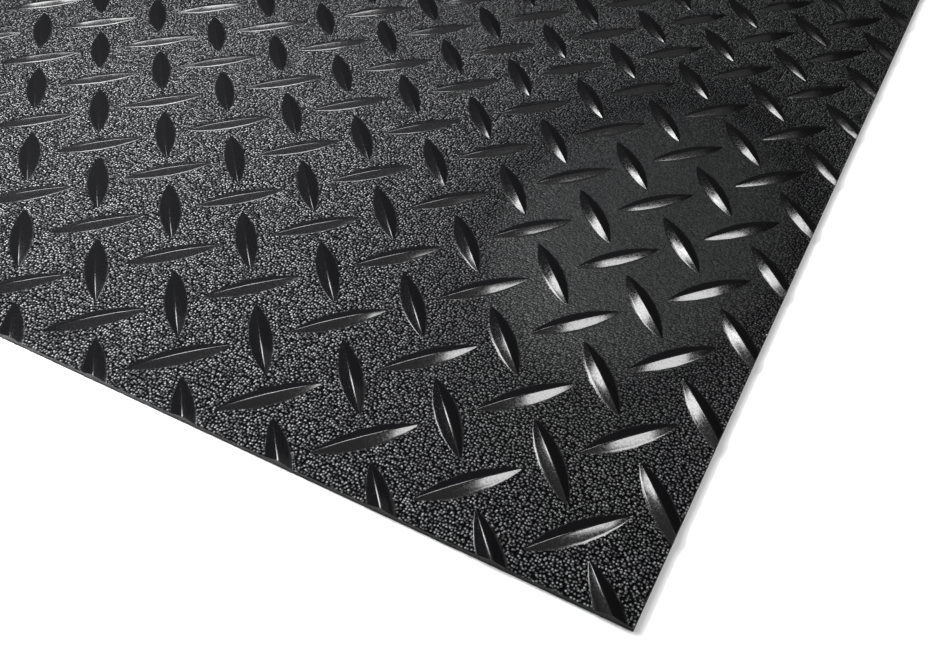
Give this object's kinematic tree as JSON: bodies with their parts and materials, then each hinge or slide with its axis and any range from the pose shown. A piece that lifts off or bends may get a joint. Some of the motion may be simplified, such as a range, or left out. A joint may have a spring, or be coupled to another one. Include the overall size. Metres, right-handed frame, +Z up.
{
  "type": "pvc floor mat",
  "caption": "Flat rectangular sheet of black PVC with lens-shaped anti-slip treads in a checker pattern, laid loose on a floor.",
  "frame": {"origin": "middle of the mat's underside, on the floor", "axes": "+X along the long edge, +Y along the short edge, +Z up out of the tread side"},
  "size_m": [0.6, 0.4, 0.0032],
  "materials": {
    "pvc": "satin"
  },
  "bodies": {
    "root": {"mat_sheet": "pvc"}
  },
  "joints": []
}
